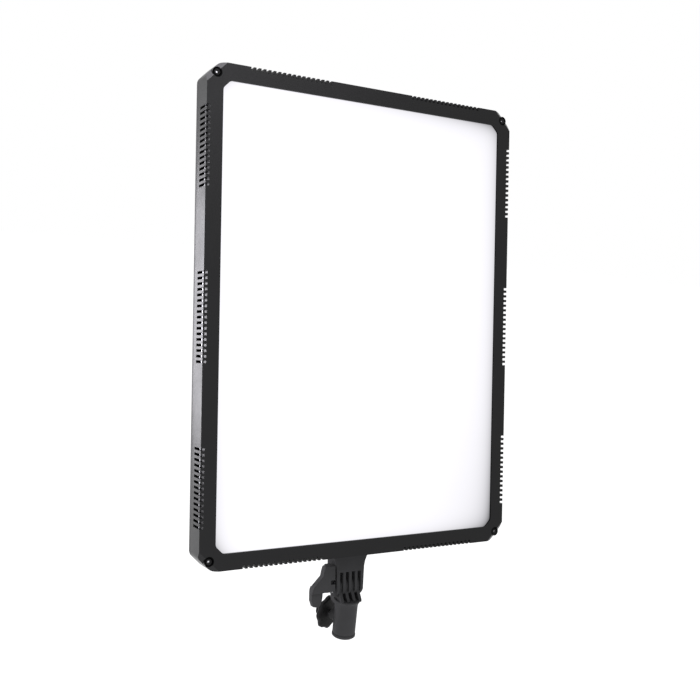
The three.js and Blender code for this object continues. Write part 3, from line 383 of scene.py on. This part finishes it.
def circuit_board():
    dark = (0.006, 0.05, 0.018)
    light = (0.012, 0.09, 0.035)
    return coated("circuit_board", dark, light, (0.25, 0.4), 700, 0.00004)


def wire_insulation():
    dark = (0.25, 0.012, 0.01)
    light = (0.34, 0.02, 0.015)
    return coated("wire_insulation", dark, light, (0.35, 0.5), 900, 0.00004)


def clear_acrylic():
    """The clear light guide, slightly uneven in gloss."""
    made, tree, shader = new_material("clear_acrylic")
    shader.inputs["Base Color"].default_value = (0.9, 0.95, 0.97, 1)
    shader.inputs["Transmission Weight"].default_value = 0.9
    tree.links.new(spread(tree, noise(tree, 80), 0.03, 0.07), shader.inputs["Roughness"])
    return made


def white_film():
    return coated("white_film", grey(0.8), grey(0.86), (0.6, 0.7), 1200, 0.00002)


def glow_losses_and_painted_shade(tree):
    """Each share of the glow that is lost, partly the panel's own fall-off and partly painted shade by the
    bezel and towards the right, and the fades from the edges that it is lost along.
    """
    edges = window_distances(tree)
    near = {side: fade(tree, edges[side], EDGE_FADE) for side in edges}
    wide = {side: fade(tree, edges[side], CORNER_FADE) for side in edges}
    far_side = fade(tree, edges["right"], SIDE_FADE)
    return (
        (0.26, near["right"]),
        (0.34, near["bottom"], wide["right"]),
        (0.20, near["right"], wide["bottom"]),
        (0.36, far_side, wide["bottom"]),
        (0.58, near["top"], wide["right"]),
        (0.10, far_side, wide["top"]),
        (0.80, near["left"], near["bottom"]),
        (0.28, near["left"], wide["bottom"]),
        (0.40, near["left"], near["top"]),
    )


def opal_sheet():
    """Opal acrylic lit from behind: even white that dims towards the window's edges and corners, partly its
    own fall-off and partly painted shade.
    """
    made, tree, shader = new_material("opal_sheet")
    level = 1.0
    # The glow's dimming is partly the panel's own fall-off and partly painted shade.
    for share, *fades in glow_losses_and_painted_shade(tree):
        loss = share
        for factor in fades:
            loss = math_node(tree, "MULTIPLY", factor, loss)
        level = math_node(tree, "SUBTRACT", level, loss)
    cloud = spread(tree, noise(tree, 9, 2.0), 0.99, 1.0)
    glow = math_node(tree, "MAXIMUM", math_node(tree, "MULTIPLY", level, cloud), GLOW_FLOOR)
    tree.links.new(mixed(tree, glow, grey(0.0), GLOW_COLOUR), shader.inputs["Emission Color"])
    shader.inputs["Emission Strength"].default_value = 1.0
    shader.inputs["Base Color"].default_value = (0.05, 0.05, 0.052, 1)
    shader.inputs["Specular IOR Level"].default_value = 0.15
    tree.links.new(spread(tree, noise(tree, 120), 0.35, 0.45), shader.inputs["Roughness"])
    return made


SLOT_MATERIALS = (
    casing_metal, cover_moulding, opal_sheet, clear_acrylic, white_film, bare_aluminium,
    circuit_board, wire_insulation, display_body, display_glass, bright_steel, dial_rubber,
    button_plastic, black_screws, corner_screw_steel, cast_metal, receiver_metal,
    lever_plastic, knob_plastic, brass_pad,
)
MATERIALS = {make.__name__: make() for make in SLOT_MATERIALS}


# ---------- finish of the CAD nodes ----------

def soft_shading_nodes():
    """Merges the split vertices, then shades smooth except over sharp edges."""
    tree = bpy.data.node_groups.new("soft_shading", "GeometryNodeTree")
    tree.interface.new_socket("Geometry", in_out="INPUT", socket_type="NodeSocketGeometry")
    tree.interface.new_socket("Geometry", in_out="OUTPUT", socket_type="NodeSocketGeometry")
    start = tree.nodes.new("NodeGroupInput")
    merge = tree.nodes.new("GeometryNodeMergeByDistance")
    merge.inputs["Distance"].default_value = MERGE_DISTANCE
    smooth = tree.nodes.new("GeometryNodeSetShadeSmooth")
    angle = tree.nodes.new("GeometryNodeInputMeshEdgeAngle")
    sharp = tree.nodes.new("FunctionNodeCompare")
    sharp.operation = "GREATER_THAN"
    sharp.inputs["B"].default_value = SHARP_ANGLE
    crease = tree.nodes.new("GeometryNodeSetShadeSmooth")
    crease.domain = "EDGE"
    crease.inputs["Shade Smooth"].default_value = False
    end = tree.nodes.new("NodeGroupOutput")
    tree.links.new(start.outputs[0], merge.inputs["Geometry"])
    tree.links.new(merge.outputs["Geometry"], smooth.inputs["Geometry"])
    tree.links.new(smooth.outputs["Geometry"], crease.inputs["Geometry"])
    tree.links.new(angle.outputs["Unsigned Angle"], sharp.inputs["A"])
    tree.links.new(sharp.outputs["Result"], crease.inputs["Selection"])
    tree.links.new(crease.outputs["Geometry"], end.inputs[0])
    return tree


SOFT_SHADING = soft_shading_nodes()


def soften(obj, width):
    """Rounds a CAD node's sharp edges by that width, with each flat face made one face first."""
    shading = obj.modifiers.new("shading", "NODES")
    shading.node_group = SOFT_SHADING
    flat = obj.modifiers.new("flat", "DECIMATE")
    flat.decimate_type = "DISSOLVE"
    flat.angle_limit = FLAT_ANGLE
    bevel = obj.modifiers.new("edges", "BEVEL")
    bevel.width = width
    bevel.segments = 2
    bevel.limit_method = "ANGLE"
    bevel.angle_limit = SHARP_ANGLE
    bevel.harden_normals = True


def finish_cad_nodes():
    """Gives each CAD node its material and its rounded edges."""
    for part in frame["record"]["subparts"]:
        obj = frame["nodes"][part["node"]]
        obj.data.materials.clear()
        at_corner = part["node"].startswith("corner_screw")
        slot = "corner_screw_steel" if at_corner else part["material_slot"]
        obj.data.materials.append(MATERIALS[slot])
        soften(obj, EDGE_ROUNDING.get(part["node"], PLAIN_ROUNDING))


finish_cad_nodes()


# ---------- studio ----------

def make_camera():
    made = bpy.data.objects.new("camera", bpy.data.cameras.new("camera"))
    bpy.context.scene.collection.objects.link(made)
    right = CAMERA_FORWARD.cross(CAMERA_UP).normalized()
    up = right.cross(CAMERA_FORWARD)
    turn = Matrix((right, up, -CAMERA_FORWARD)).transposed()
    made.matrix_world = Matrix.Translation(CAMERA_PLACE) @ turn.to_4x4()
    made.data.lens = CAMERA_LENS
    made.data.clip_start = CAMERA_NEAR
    bpy.context.scene.camera = made


def area_light(name, place, target, size, power):
    """A rectangular lamp at a place, aimed at a target, with its power in watts."""
    lamp = bpy.data.lights.new(name, "AREA")
    lamp.shape = "RECTANGLE"
    lamp.size, lamp.size_y = size
    lamp.energy = power
    lamp.color = LAMP_TINT
    made = bpy.data.objects.new(name, lamp)
    bpy.context.scene.collection.objects.link(made)
    made.location = place
    aim = Vector(target) - Vector(place)
    made.rotation_euler = aim.to_track_quat("-Z", "Y").to_euler()


def white_world():
    world = bpy.data.worlds.new("studio")
    bpy.context.scene.world = world
    world.use_nodes = True
    background = world.node_tree.nodes["Background"]
    background.inputs["Color"].default_value = (1, 1, 1, 1)
    background.inputs["Strength"].default_value = 1.0


def make_studio():
    """White surroundings with one lamp behind on the left, one above and a weak one in front."""
    white_world()
    bpy.context.scene.view_settings.view_transform = "Standard"
    area_light("side_light", (-1.0, 1.3, 0.24), (-0.2, 0, 0.4), (0.8, 0.72), 14.5)
    area_light("top_light", (-0.75, 0.1, 2.1), (-0.2, 0, 0.6), (0.9, 0.9), 26)
    area_light("key_light", (0.25, -1.25, 1.45), (-0.15, 0, 0.66), (0.7, 0.6), 3.6)


def pale_floor():
    """Matt near-white with a faint glow, close in tone to the white surroundings."""
    made, _, shader = new_material("pale_floor")
    shader.inputs["Base Color"].default_value = (0.95, 0.95, 0.95, 1)
    shader.inputs["Roughness"].default_value = 0.9
    shader.inputs["Specular IOR Level"].default_value = 0.1
    shader.inputs["Emission Color"].default_value = (1, 1, 1, 1)
    shader.inputs["Emission Strength"].default_value = 0.12
    return made


def make_floor():
    """A wide floor below the light, which runs out to the white surroundings."""
    bpy.ops.mesh.primitive_plane_add(size=FLOOR_SIZE, location=(0, 0, FLOOR_LEVEL))
    floor = bpy.context.object
    floor.name = "floor"
    floor.data.materials.append(pale_floor())


make_camera()
make_studio()
make_floor()
